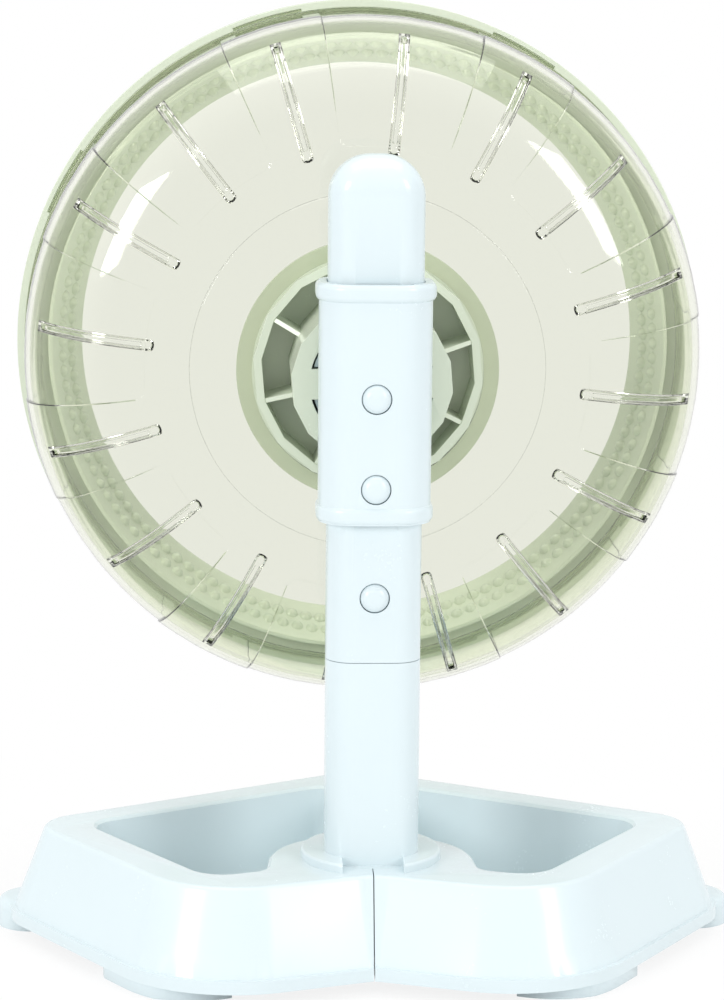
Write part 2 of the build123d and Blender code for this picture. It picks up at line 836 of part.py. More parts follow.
def hub():
    """Dished hub: polygon rim, floor, flange behind the drum, collar, gussets, snap tabs."""
    hub_end = hub_floor_start + hub_floor_thickness
    flange_start = drum_back + drum_wall
    body = hub_polygon(hub_rim_radius, hub_rim_start, hub_end)
    body -= hub_polygon(hub_rim_radius - hub_rim_wall, hub_rim_start, hub_floor_start)
    body += disc(hub_flange_radius, flange_start, flange_start + hub_flange_thickness) - hub_polygon(
        hub_rim_radius - hub_rim_wall / 2, hub_rim_start, hub_end
    )
    body += hub_polygon(collar_radius, collar_start, hub_end)
    rim_reach = (hub_rim_radius - hub_rim_wall / 2) * math.cos(math.pi / hub_sides)
    gusset = make_face(
        Polyline(
            (collar_bore, hub_floor_start),
            (collar_bore, gusset_collar_start),
            (collar_radius, gusset_collar_start),
            (rim_reach, hub_rim_start + gusset_drop),
            (rim_reach, hub_floor_start),
            close=True,
        )
    )
    plate = extrude(Plane.XZ * gusset, gusset_thickness / 2, both=True)
    for copy in spread(plate, gusset_count, rib_phase + 180 / gusset_count):
        body += copy
    body -= disc(collar_bore, collar_start, hub_floor_start)
    body -= disc(hub_hole_radius, hub_floor_start, hub_end)
    tab_end = carrier_start + key_slot_length - key_slot_clearance
    for tab in key_blocks(snap_tab_width, snap_tab_inner, collar_start, tab_end):
        body += tab
    return body


def hub_cap():
    """Crowned cap that snaps into the hub's hole from inside the drum."""
    face = hub_floor_start + hub_floor_thickness
    spigot = hub_hole_radius - spigot_clearance
    hollow = spigot - cap_spigot_wall
    skin = face + cap_height / 2
    return turned(
        [
            (0, face + cap_height, 0),
            (cap_radius, face + cap_height, cap_crown),
            (cap_radius, face, 0),
            (spigot, face, 0),
            (spigot, face - cap_spigot_length, 0),
            (hollow, face - cap_spigot_length, 0),
            (hollow, skin, 0),
            (0, skin, 0),
        ]
    )


# Drum

drum_hole_radius = hub_rim_radius + drum_hole_clearance
drum_corner_end_radius = drum_mouth_radius - drum_taper
snap_bead_radius = drum_mouth_radius + snap_bead_height
snap_bead_start = drum_mouth - snap_bead_setback
panel_end = drum_mouth - panel_setback
lip_radius = drum_mouth_radius + lip_overhang
wall_slope = (drum_mouth_radius - drum_corner_end_radius) / (
    drum_mouth - drum_back - back_step - drum_corner
)


def wall_radius(height):
    """Outer radius of the drum's drafted wall, carried on below its rounded corner."""
    return drum_mouth_radius - (drum_mouth - height) * wall_slope


def drum_band(inner, outside, inside, end, end_rounding):
    """Closed section that follows the drum's back, corner and wall between two depths
    under its outer surface, from the inner radius to the given height."""
    outer_face = drum_back + back_step + outside
    inner_face = drum_back + back_step + inside
    return rounded_outline(
        [
            (inner, outer_face, 0),
            (wall_radius(outer_face) - outside, outer_face, drum_corner - outside),
            (wall_radius(end) - outside, end, 0),
            (wall_radius(end) - inside, end, 0),
            (wall_radius(inner_face) - inside, inner_face, drum_corner - inside),
            (inner, inner_face, end_rounding),
        ]
    )


def meridian_slab(inner, outside, inside, width, end):
    """Flat slab that follows the drum's back and corner, cut off square at its end."""
    rounding = (inside - outside) * 0.45
    section = drum_band(inner, outside, inside, drum_mouth - drum_corner / 2, rounding)
    slab = extrude(Plane.XZ * section, width / 2, both=True)
    keep = Box(4 * lip_radius, 4 * lip_radius, end, align=(Align.CENTER, Align.CENTER, Align.MIN))
    return slab & keep


def drum():
    """Clear dished drum: stepped back, ribs as rungs, recessed panels and a snap bead."""
    shell = turned(
        [
            (drum_hole_radius, drum_back, 0),
            (back_step_radius, drum_back, 0),
            (back_step_radius + back_step, drum_back + back_step, 0),
            (wall_radius(drum_back + back_step), drum_back + back_step, drum_corner),
            (wall_radius(snap_bead_start), snap_bead_start, 0),
            (snap_bead_radius, snap_bead_start, 0),
            (snap_bead_radius, snap_bead_start + snap_bead_width / 2, 0),
            (drum_mouth_radius, snap_bead_start + snap_bead_width, 0),
            (drum_mouth_radius, drum_mouth, 0),
            (drum_mouth_radius - drum_wall, drum_mouth, 0),
            (
                wall_radius(drum_back + back_step + drum_wall) - drum_wall,
                drum_back + back_step + drum_wall,
                drum_corner - drum_wall,
            ),
            (back_step_radius + back_step, drum_back + back_step + drum_wall, 0),
            (back_step_radius, drum_back + drum_wall, 0),
            (drum_hole_radius, drum_back + drum_wall, 0),
        ]
    )
    rib = meridian_slab(rib_inner_radius, drum_wall / 2, drum_wall + rib_height, rib_width, rib_end)
    shell += spread(rib, rib_count, rib_phase)
    panel_section = Plane.XZ * drum_band(panel_inner_radius, -drum_wall, panel_depth, panel_end, 0)
    panel = revolve(panel_section, Axis.Z, revolution_arc=2 * panel_half_angle)
    shell -= spread(Rot(0, 0, -panel_half_angle) * panel, panel_count, rib_phase)
    groove = meridian_slab(
        rib_inner_radius + rib_width,
        -drum_wall,
        panel_depth + rib_groove_depth,
        rib_groove_width,
        rib_end - rib_width,
    )
    shell -= spread(groove, rib_count, rib_phase)
    return shell


# Front ring

ring_skirt_start = drum_mouth - ring_skirt_overlap
ring_front = drum_mouth + ring_projection
ring_shoulder = drum_mouth + ring_shoulder_rise
ring_crest = drum_mouth + ring_crest_rise
ring_crest_radius = lip_radius - ring_crest_inset
ring_opening_radius = lip_radius - ring_opening_inset
ring_cone_radius = lip_radius - ring_cone_inset
ring_hook_radius = drum_mouth_radius + ring_hook_gap


def front_ring():
    """Ring on the drum's mouth: skirt with hooks, front face and the cone that leads in."""
    skirt_inner = lip_radius - ring_skirt_wall
    hook_end = snap_bead_start - ring_clearance
    face_back = drum_mouth + ring_clearance
    ring = turned(
        [
            (lip_radius, ring_skirt_start, 0),
            (lip_radius, ring_shoulder, ring_wall),
            (ring_crest_radius, ring_crest, ring_wall * 4),
            (ring_opening_radius + ring_wall / 2, ring_front, ring_wall / 2),
            (ring_opening_radius, ring_front - ring_wall / 2, ring_wall / 4),
            (ring_cone_radius, ring_skirt_start, ring_wall / 4),
            (ring_cone_radius + ring_cone_wall, ring_skirt_start, ring_wall / 4),
            (ring_cone_radius - ring_cone_wall, ring_shoulder - ring_cone_wall, 0),
            (ring_crest_radius, face_back + ring_cone_wall, 0),
            (skirt_inner, face_back, 0),
            (skirt_inner, hook_end, 0),
            (ring_hook_radius, hook_end, 0),
            (ring_hook_radius, ring_skirt_start, 0),
        ]
    )
    window = rounded_outline(
        [
            (ring_hook_radius - ring_wall, ring_skirt_start - ring_wall, 0),
            (skirt_inner, ring_skirt_start - ring_wall, 0),
            (skirt_inner, hook_end, 0),
            (ring_hook_radius - ring_wall, hook_end, 0),
        ]
    )
    slot = revolve(Plane.XZ * window, Axis.Z, revolution_arc=ring_slot_angle)
    turn = Rot(0, 0, -ring_slot_angle / 2)
    ring -= spread(turn * slot, panel_count, rib_phase + 180 / panel_count)
    return ring


def solids_of(shape):
    """All the separate solids in a shape or a list of shapes."""
    pieces = shape if isinstance(shape, list) else [shape]
    return [solid for piece in pieces for solid in piece.solids()]


def build_parts():
    """Every node as a list of its solids, by name, before the origin is moved."""
    bowl_solid = right_bowl()
    turning = {
        "axle": axle(),
        "axle_washer": axle_washer(),
        "axle_screw": axle_screw(),
        "bearing_spacer": bearing_spacer(),
        "bearing_inner_rings": inner_rings(),
        "bearing_outer_rings": outer_rings(),
        "bearing_shields": bearing_shields(),
        "bearing_balls": bearing_balls(),
        "bearing_cages": bearing_cages(),
        "bearing_carrier": bearing_carrier(),
        "retaining_ring": retaining_ring(),
        "hub": hub(),
        "hub_cap": hub_cap(),
        "drum": drum(),
        "front_ring": front_ring(),
    }
    nodes = {
        "right_bowl": bowl_solid,
        "left_bowl": mirror(bowl_solid, about=Plane.YZ),
        "post_foot": post_foot(),
        "post_upper": post_upper(),
        "clamp_disc": clamp_disc(),
        "base_screws": base_screws(),
        "sleeve": sleeve(),
        "lower_button": button(button_heights[0], sleeve_inner_face, sleeve_half_depth),
        "upper_button": button(button_heights[1], sleeve_inner_face, sleeve_half_depth),
        "lower_button_spring": bowed_spring(button_heights[0]),
        "upper_button_spring": bowed_spring(button_heights[1]),
        "spring_brackets": [spring_bracket(height) for height in button_heights],
        "post_button": button(post_button_height, spigot_inner_face, post_depth / 2),
        "post_button_spring": post_button_spring(),
    }
    for name, shape in turning.items():
        nodes[name] = [on_wheel_axis(solid) for solid in solids_of(shape)]
    return {name: solids_of(shape) for name, shape in nodes.items()}


def origin_shift(nodes):
    """Move that puts the origin on the floor under the middle of the whole object."""
    boxes = [solid.bounding_box() for solids in nodes.values() for solid in solids]
    low = min(box.min.Y for box in boxes)
    high = max(box.max.Y for box in boxes)
    return Pos(0, -(low + high) / 2, 0)


def main():
    """Writes one STEP file for each node."""
    nodes = build_parts()
    shift = origin_shift(nodes)
    os.makedirs("parts", exist_ok=True)
    for name, solids in nodes.items():
        moved = [shift * solid for solid in solids]
        shape = moved[0] if len(moved) == 1 else Compound(children=moved)
        export_step(shape, os.path.join("parts", name + ".step"))


if __name__ == "__main__":
    main()
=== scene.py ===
"""Looks of a rodent exercise wheel: a clear drum turns on a sleeve that slides on a post,
and the post stands between two food bowls. All lengths are in metres."""

import json
import math

import bmesh
import bpy
import numpy as np
from bpy.props import FloatProperty, FloatVectorProperty, IntProperty, PointerProperty
from mathutils import Matrix, Vector


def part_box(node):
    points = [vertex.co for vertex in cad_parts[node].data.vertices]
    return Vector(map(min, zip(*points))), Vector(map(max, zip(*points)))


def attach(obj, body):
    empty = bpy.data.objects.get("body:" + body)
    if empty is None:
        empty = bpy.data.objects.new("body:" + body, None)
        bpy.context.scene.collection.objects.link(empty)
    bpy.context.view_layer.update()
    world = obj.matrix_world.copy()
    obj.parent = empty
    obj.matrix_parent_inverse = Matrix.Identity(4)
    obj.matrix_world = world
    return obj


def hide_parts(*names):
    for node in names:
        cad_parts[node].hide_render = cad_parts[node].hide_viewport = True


bl_info = {
    "name": "Exercise Wheel",
    "version": (1, 0, 0),
    "blender": (4, 5, 0),
    "location": "View3D > Sidebar > Wheel",
    "description": "Finishes a rodent exercise wheel with its drum, hub, post and food bowls",
    "category": "Object",
}

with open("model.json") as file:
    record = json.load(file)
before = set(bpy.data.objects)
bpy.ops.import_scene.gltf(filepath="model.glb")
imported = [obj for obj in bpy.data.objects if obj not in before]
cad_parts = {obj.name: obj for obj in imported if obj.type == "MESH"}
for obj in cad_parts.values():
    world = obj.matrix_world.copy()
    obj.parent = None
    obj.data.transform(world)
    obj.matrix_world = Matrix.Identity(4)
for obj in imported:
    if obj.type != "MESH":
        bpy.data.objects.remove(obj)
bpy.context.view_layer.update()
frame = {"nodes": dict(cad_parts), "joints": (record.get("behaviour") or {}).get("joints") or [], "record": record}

MM = 0.001


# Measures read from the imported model

def joint_place(name):
    """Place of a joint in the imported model."""
    return next(joint["pos_m"] for joint in frame["joints"] if joint["name"] == name)


wheel_axis = joint_place("wheel_spin")
axis_height = wheel_axis[2]
drum_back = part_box("drum")[0][1]
drum_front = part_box("drum")[1][1]
ring_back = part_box("front_ring")[0][1]
ring_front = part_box("front_ring")[1][1]
lip_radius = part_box("front_ring")[1][0]

# Section of the front ring, forwards from its back and inwards from its lip

ring_hook_end = 2.4 * MM
ring_face_back = 6.4 * MM
ring_shoulder = 9.2 * MM
ring_crest = 13.6 * MM
ring_crest_inset = 8.5 * MM
ring_cone_inset = 10.0 * MM
ring_opening_inset = 18.7 * MM
ring_wall_step = 1.6 * MM
ring_row_length = 1.6 * MM

# Edges of the drum's relief: how far each takes to rise or fall

panel_edge = 0.14 * MM
step_fall = 0.5 * MM
mouth_easing = 0.4 * MM

# Rounding of surfaces and shading

arc_step = math.radians(7)
sharp_moulding = math.radians(32)

# Camera fitted to the outlines: place in metres, angles in degrees, lens in millimetres

camera_place = (-0.03994, -0.87958, 0.27904)
camera_yaw = -2.504
camera_pitch = 9.897
camera_roll = 0.4996
camera_lens = 110.973

# Softboxes: place and size in metres, all aimed at one point in the wheel

lamp_target = (0, 0, 0.12)
left_place, left_size = (-1.25, -1.15, 0.75), (0.42, 0.62)
right_place, right_size = (1.2, -1.2, 0.85), (0.4, 0.8)
top_place, top_size = (0.0, 0.1, 1.5), (1.4, 1.1)

floor_radius = 12.0


def srgb(hex_colour):
    """Linear red, green and blue of an sRGB hex colour, by the two parts of the sRGB curve."""
    channels = np.array([int(hex_colour[i : i + 2], 16) for i in (1, 3, 5)]) / 255
    low = channels / 12.92
    high = ((channels + 0.055) / 1.055) ** 2.4
    return tuple(float(value) for value in np.where(channels <= 0.04045, low, high))


def length(label, text, default):
    """A length property, in metres."""
    return FloatProperty(
        name=label, description=text, default=default, min=0.0, precision=5, unit="LENGTH", subtype="DISTANCE"
    )


def angle(label, text, default):
    """An angle property, given in degrees and kept in radians."""
    return FloatProperty(
        name=label, description=text, default=math.radians(default), unit="ROTATION", subtype="ANGLE"
    )


def colour(label, text, default):
    """A colour property, given as sRGB hex and kept as linear values."""
    return FloatVectorProperty(
        name=label, description=text, default=srgb(default), min=0.0, max=1.0, size=3, subtype="COLOR"
    )


class DrumSizes(bpy.types.PropertyGroup):
    """Sizes of the clear drum's form, measured from the wheel's axis and the drum's back."""

    hole_radius: length("Hole radius", "Radius of the hole that goes over the hub's rim", 33.5 * MM)
    wall: length("Wall", "Thickness of the moulded wall", 2.0 * MM)
    step_radius: length("Step radius", "Radius of the raised disc in the back", 51.0 * MM)
    step: length("Step", "Height of the raised disc", 0.5 * MM)
    seat_gap: length("Seat gap", "Air left between the wall and the hub's flange", 0.1 * MM)
    corner: length("Corner radius", "Rounding between the back and the wall, seen from the side", 35.0 * MM)
    corner_end_radius: length("Radius at the corner", "Radius where the corner meets the wall", 101.4 * MM)
    mouth_radius: length("Mouth radius", "Radius of the wall at the mouth", 102.3 * MM)
    bead_start: length("Bead from the mouth", "How far behind the mouth the snap bead begins", 3.6 * MM)
    bead_width: length("Bead width", "Width of the snap bead along the axis", 2.2 * MM)
    bead_height: length("Bead height", "How far the snap bead stands out", 1.2 * MM)
    rib_pairs: IntProperty(name="Rib pairs", description="Half the number of ribs", default=8, min=4)
    rib_phase: angle("Rib phase", "Clockwise turn of the first rib from the top", 6.3)
    rib_half_width: length("Rib half width", "Half the width of a rib on the inside", 1.65 * MM)
    rib_height: length("Rib height", "How far a rib stands in from the wall", 2.0 * MM)
    rib_inner_radius: length("Rib inner radius", "Radius at which the ribs begin", 62.0 * MM)
    rib_end: length("Rib end", "How far in front of the drum's back the ribs end", 19.1 * MM)
    groove_half_width: length("Groove half width", "Half the width of the groove outside a rib", 0.85 * MM)
    groove_depth: length("Groove depth", "Depth of the groove outside a rib", 1.6 * MM)
    panel_half_angle: angle("Panel half angle", "Half the angle that a sunk panel spans", 13.8)
    panel_inner_radius: length("Panel inner radius", "Radius at which the sunk panels begin", 64.5 * MM)
    panel_depth: length("Panel depth", "Depth of the sunk panels", 0.4 * MM)
    panel_corner: length("Panel corner radius", "Rounding of the sunk panels' corners", 3.0 * MM)
    panel_end: length("Panel from the mouth", "How far behind the mouth the sunk panels end", 4.7 * MM)


class RingSizes(bpy.types.PropertyGroup):
    """Sizes of the front ring's skirt, of its snap hooks and of the bumps on its cone."""

    skirt_wall: length("Skirt wall", "Thickness of the skirt round the drum's mouth", 1.3 * MM)
    hook_depth: length("Hook depth", "How far the snap hooks stand in from the skirt", 1.0 * MM)
    slot_half_angle: angle("Slot half angle", "Half the angle of a gap between two hooks", 6.0)
    bump_count: IntProperty(
        name="Bumps in a row", description="Bumps round the lead-in cone", default=124, min=8
    )
    bump_radius: length("Bump radius", "Radius of a bump where it meets the cone", 2.1 * MM)
    bump_height: length("Bump height", "Height of a bump over the cone", 1.7 * MM)


class FinishColours(bpy.types.PropertyGroup):
    """Colours of the mouldings and metals, each as the eye sees it in white light."""

    pale_blue: colour("Pale blue plastic", "Bowls, post, sleeve, buttons and bearing carrier", "#DAE7EB")
    pale_green: colour("Pale green plastic", "Hub, hub cap, spacer and front ring", "#D6DFCB")
    clear: colour("Clear plastic", "Tint of the clear drum", "#E6E8DB")
    steel: colour("Ground steel", "Bearing rings and balls", "#C9CACC")
    spring: colour("Spring steel", "Leaf springs, brackets and retaining ring", "#A9ABB0")
    zinc: colour("Zinc plate", "Axle, screws and washer", "#C4C8CD")
    floor: colour("Floor", "Pale studio floor", "#F4F4F4")


class StudioSettings(bpy.types.PropertyGroup):
    """Lamps, in watts, and the world's fill light."""

    left_power: FloatProperty(
        name="Left softbox", description="Power of the left lamp", default=9.0, unit="POWER"
    )
    right_power: FloatProperty(
        name="Right softbox", description="Power of the right lamp", default=7.5, unit="POWER"
    )
    top_power: FloatProperty(
        name="Top softbox", description="Power of the lamp overhead", default=8.0, unit="POWER"
    )
    fill: FloatProperty(name="Fill", description="Strength of the world's even light", default=0.72, min=0.0)


class WheelSettings(bpy.types.PropertyGroup):
    """Everything about the wheel that a user may change."""

    drum: PointerProperty(type=DrumSizes)
    ring: PointerProperty(type=RingSizes)
    colours: PointerProperty(type=FinishColours)
    studio: PointerProperty(type=StudioSettings)


# Surfaces

def smoothstep(low, high, value):
    """0 below low, 1 above high, and 3t^2 - 2t^3 between them."""
    t = np.clip((value - low) / (high - low), 0.0, 1.0)
    return t * t * (3 - 2 * t)


def rounded_profile(corners):
    """Closed outline of straight runs with a tangent arc at each corner, as rows of (radius, place).
    A corner is (radius, place, rounding). Its arc's centre lies on the bisector of the corner,
    rounding / sin(half the corner's angle) away from it."""
    points = []
    count = len(corners)
    for index, (radius, place, rounding) in enumerate(corners):
        corner = np.array([radius, place])
        if rounding == 0:
            points.append(corner[None, :])
            continue
        before = np.array(corners[index - 1][:2]) - corner
        after = np.array(corners[(index + 1) % count][:2]) - corner
        before = before / np.linalg.norm(before)
        after = after / np.linalg.norm(after)
        half = math.acos(np.clip(before @ after, -1, 1)) / 2
        centre = corner + (before + after) / np.linalg.norm(before + after) * rounding / math.sin(half)
        start = corner + before * rounding / math.tan(half) - centre
        end = corner + after * rounding / math.tan(half) - centre
        sweep = math.pi - 2 * half
        steps = max(2, math.ceil(sweep / arc_step) + 1)
        t = np.linspace(0, sweep, steps)[:, None]
        points.append(centre + (start * np.sin(sweep - t) + end * np.sin(t)) / math.sin(sweep))
    return np.vstack(points)


def around_axis(radius, place, turn):
    """Points round the wheel's axis: (radius sin turn, place, axis height + radius cos turn)."""
    radius, place, turn = np.broadcast_arrays(radius, place, turn)
    return np.stack([radius * np.sin(turn), place, axis_height + radius * np.cos(turn)], axis=-1)


def mesh_of(name, points, faces):
    """Mesh from an array of points and an array of faces that all have as many corners."""
    mesh = bpy.data.meshes.new(name)
    corners = faces.shape[1]
    mesh.vertices.add(len(points))
    mesh.vertices.foreach_set("co", points.astype(np.float32).ravel())
    mesh.loops.add(faces.size)
    mesh.loops.foreach_set("vertex_index", faces.astype(np.int32).ravel())
    mesh.polygons.add(len(faces))
    mesh.polygons.foreach_set("loop_start", np.arange(0, faces.size, corners, dtype=np.int32))
    mesh.update(calc_edges=True)
    return mesh


def grid_faces(rows, columns, wrap_rows):
    """Quads between the neighbouring points of a grid. Its columns close up, its rows may."""
    index = np.arange(rows * columns).reshape(rows, columns)
    if wrap_rows:
        index = np.vstack([index, index[:1]])
    index = np.hstack([index, index[:, :1]])
    quads = np.stack([index[:-1, :-1], index[:-1, 1:], index[1:, 1:], index[1:, :-1]], axis=-1)
    return quads.reshape(-1, 4)


def finish_mesh(mesh, sharp_angle, merge=1e-7):
    """Merges what meets, points every face outwards and shades smooth between sharp edges."""
    model = bmesh.new()
    model.from_mesh(mesh)
    bmesh.ops.remove_doubles(model, verts=model.verts, dist=merge)
    bmesh.ops.recalc_face_normals(model, faces=model.faces)
    model.to_mesh(mesh)
    model.free()
    mesh.polygons.foreach_set("use_smooth", np.ones(len(mesh.polygons), bool))
    mesh.set_sharp_from_angle(angle=sharp_angle)


def grid_surface(name, points, wrap_rows=True, sharp_angle=math.radians(40)):
    """Object whose surface runs through a grid of points, [row, column, xyz]."""
    rows, columns = points.shape[:2]
    mesh = mesh_of(name, points.reshape(-1, 3), grid_faces(rows, columns, wrap_rows))
    finish_mesh(mesh, sharp_angle)
    piece = bpy.data.objects.new(name, mesh)
    bpy.context.scene.collection.objects.link(piece)
    return piece


def place_piece(piece, body, material, slot, *nodes):
    """Gives a piece its material, hangs it on the body that it rides on and hides the nodes that it stands for."""
    piece.data.materials.clear()
    piece.data.materials.append(material)
    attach(piece, body)
    if nodes:
        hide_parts(*nodes)


def body_of(node):
    """Name of the body that a node belongs to."""
    bodies = frame["record"]["behaviour"]["bodies"]
    return next(body for body, nodes in bodies.items() if node in nodes)


def slot_of(node):
    """Material slot that the record gives a node."""
    return next(part["material_slot"] for part in frame["record"]["subparts"] if part["node"] == node)


def set_material(node, material):
    """Puts a material on a CAD node's own object."""
    mesh = frame["nodes"][node].data
    mesh.materials.clear()
    mesh.materials.append(material)


def moulded_copy(node, material, edge):
    """Copy of a node's mesh with its triangles merged, flat faces joined and edges eased.
    The copy stands for the node, which keeps the same material."""
    set_material(node, material)
    mesh = frame["nodes"][node].data.copy()
    model = bmesh.new()
    model.from_mesh(mesh)
    bmesh.ops.remove_doubles(model, verts=model.verts, dist=2e-6)
    bmesh.ops.dissolve_degenerate(model, edges=model.edges, dist=1e-6)
    bmesh.ops.dissolve_limit(
        model,
        angle_limit=math.radians(0.15),
        use_dissolve_boundaries=False,
        verts=model.verts,
        edges=model.edges,
    )
    model.to_mesh(mesh)
    model.free()
    mesh.polygons.foreach_set("use_smooth", np.ones(len(mesh.polygons), bool))
    mesh.set_sharp_from_angle(angle=sharp_moulding)
    piece = bpy.data.objects.new(f"{node}_moulding", mesh)
    bpy.context.scene.collection.objects.link(piece)
    if edge:
        bevel = piece.modifiers.new("eased_edges", "BEVEL")
        bevel.width = edge
        bevel.segments = 2
        bevel.limit_method = "ANGLE"
        bevel.angle_limit = sharp_moulding
        bevel.harden_normals = True
        bevel.use_clamp_overlap = True
    place_piece(piece, body_of(node), material, slot_of(node), node)
    return piece


# Materials

def add_node(tree, kind, inputs=None, **settings):
    """Adds a node with its settings, and links or sets its inputs by name or number."""
    node = tree.nodes.new(kind)
    for name, value in settings.items():
        setattr(node, name, value)
    for name, value in (inputs or {}).items():
        if isinstance(value, bpy.types.NodeSocket):
            tree.links.new(value, node.inputs[name])
        else:
            node.inputs[name].default_value = value
    return node


def new_material(name):
    """Empty node material with its output node."""
    material = bpy.data.materials.new(name)
    material.use_nodes = True
    material.node_tree.nodes.clear()
    return material, material.node_tree, add_node(material.node_tree, "ShaderNodeOutputMaterial")


def per_metre(millimetres):
    """Texture scale that repeats a pattern once in the given number of millimetres."""
    return 1 / (millimetres * MM)


def shade(rgb, factor):
    """A colour made darker or lighter, with its opaque alpha."""
    return (*[min(1.0, value * factor) for value in rgb], 1.0)


def moulded_abs(name, rgb):
    """Gloss injection-moulded ABS. The eye sees a hard, wet-looking gloss over an even, milky
    colour, broken by slight waves where the wall sank as it cooled, and by faint handling marks."""
    material, tree, output = new_material(name)
    place = add_node(tree, "ShaderNodeTexCoord").outputs["Object"]
    # The colour clouds a little over about 40 mm, as pigment spreads along the flow of the melt.
    flow = add_node(
        tree,
        "ShaderNodeTexNoise",
        {"Vector": place, "Scale": per_metre(40), "Detail": 2.0, "Roughness": 0.45},
    )
    tint = add_node(
        tree,
        "ShaderNodeMix",
        {0: flow.outputs["Fac"], 6: shade(rgb, 0.972), 7: shade(rgb, 1.02)},
        data_type="RGBA",
    )
    # Grains of 0.9 mm stand for the fine haze that keeps a moulding from being a perfect mirror.
    haze = add_node(tree, "ShaderNodeTexNoise", {"Vector": place, "Scale": per_metre(0.9), "Detail": 3.0})
    marks = add_node(
        tree,
        "ShaderNodeTexNoise",
        {"Vector": place, "Scale": per_metre(14), "Detail": 5.0, "Distortion": 0.6},
    )
    mixed = add_node(
        tree, "ShaderNodeMath", {0: haze.outputs["Fac"], 1: marks.outputs["Fac"]}, operation="MULTIPLY"
    )
    gloss = add_node(
        tree,
        "ShaderNodeMapRange",
        {"Value": mixed.outputs[0], "From Min": 0.1, "From Max": 0.45, "To Min": 0.18, "To Max": 0.28},
    )
    # Sink waves are 11 mm long and a few hundredths of a millimetre deep.
    waves = add_node(tree, "ShaderNodeTexNoise", {"Vector": place, "Scale": per_metre(11), "Detail": 1.0})
    sink = add_node(
        tree,
        "ShaderNodeBump",
        {"Height": waves.outputs["Fac"], "Strength": 0.35, "Distance": 0.06 * MM},
    )
    peel = add_node(
        tree,
        "ShaderNodeBump",
        {"Height": haze.outputs["Fac"], "Strength": 0.12, "Distance": 0.01 * MM, "Normal": sink.outputs[0]},
    )
    shader = add_node(
        tree,
        "ShaderNodeBsdfPrincipled",
        {
            "Base Color": tint.outputs[2],
            "Roughness": gloss.outputs[0],
            "Normal": peel.outputs[0],
            "IOR": 1.54,
            "Specular IOR Level": 0.55,
        },
    )
    tree.links.new(shader.outputs[0], output.inputs[0])
    return material


def clear_polystyrene(name, rgb):
    """Clear injection-moulded polystyrene. The eye sees glass-like highlights, dark edges where
    the wall is seen end on, a faint warm-green tint, lightened towards the rim as painted light, and slight flow
    waves."""
    material, tree, output = new_material(name)
    place = add_node(tree, "ShaderNodeTexCoord").outputs["Object"]
    waves = add_node(tree, "ShaderNodeTexNoise", {"Vector": place, "Scale": per_metre(18), "Detail": 1.0})
    ripple = add_node(
        tree, "ShaderNodeBump", {"Height": waves.outputs["Fac"], "Strength": 0.25, "Distance": 0.05 * MM}
    )
    haze = add_node(tree, "ShaderNodeTexNoise", {"Vector": place, "Scale": per_metre(6), "Detail": 4.0})
    gloss = add_node(
        tree,
        "ShaderNodeMapRange",
        {"Value": haze.outputs["Fac"], "From Min": 0.35, "From Max": 0.75, "To Min": 0.01, "To Max": 0.05},
    )
    # The tint is strongest in the back and is lightened towards the rim as painted light, standing in for light
    # that shines through the wall where it is seen end on.
    centred = add_node(tree, "ShaderNodeVectorMath", {0: place, 1: (0, 0, -axis_height)}, operation="ADD")
    flat = add_node(tree, "ShaderNodeVectorMath", {0: centred.outputs[0], 1: (1, 0, 1)}, operation="MULTIPLY")
    radius = add_node(tree, "ShaderNodeVectorMath", {0: flat.outputs[0]}, operation="LENGTH")
    rim_painted_light = add_node(
        tree,
        "ShaderNodeMapRange",
        {"Value": radius.outputs["Value"], "From Min": 0.7 * lip_radius, "From Max": 0.97 * lip_radius},
        interpolation_type="SMOOTHSTEP",
    )
    # Painted light: up to 17 % lighter near the rim, in place of light coming through the wall from behind.
    tint = add_node(
        tree,
        "ShaderNodeMix",
        {0: rim_painted_light.outputs[0], 6: shade(rgb, 1.0), 7: shade(rgb, 1.17)},
        data_type="RGBA",
    )
    shader = add_node(
        tree,
        "ShaderNodeBsdfPrincipled",
        {
            "Base Color": tint.outputs[2],
            "Roughness": gloss.outputs[0],
            "Normal": ripple.outputs[0],
            "IOR": 1.45,
            "Transmission Weight": 1.0,
        },
    )
    # Lamps shine straight through to the hub and the ring, as they do through the thin real wall.
    rays = add_node(tree, "ShaderNodeLightPath")
    through = add_node(tree, "ShaderNodeBsdfTransparent", {"Color": (0.95, 0.95, 0.93, 1.0)})
    unseen = add_node(
        tree,
        "ShaderNodeMath",
        {0: rays.outputs["Is Shadow Ray"], 1: rays.outputs["Is Diffuse Ray"]},
        operation="ADD",
        use_clamp=True,
    )
    surface = add_node(
        tree, "ShaderNodeMixShader", {0: unseen.outputs[0], 1: shader.outputs[0], 2: through.outputs[0]}
    )
    tree.links.new(surface.outputs[0], output.inputs[0])
    return material


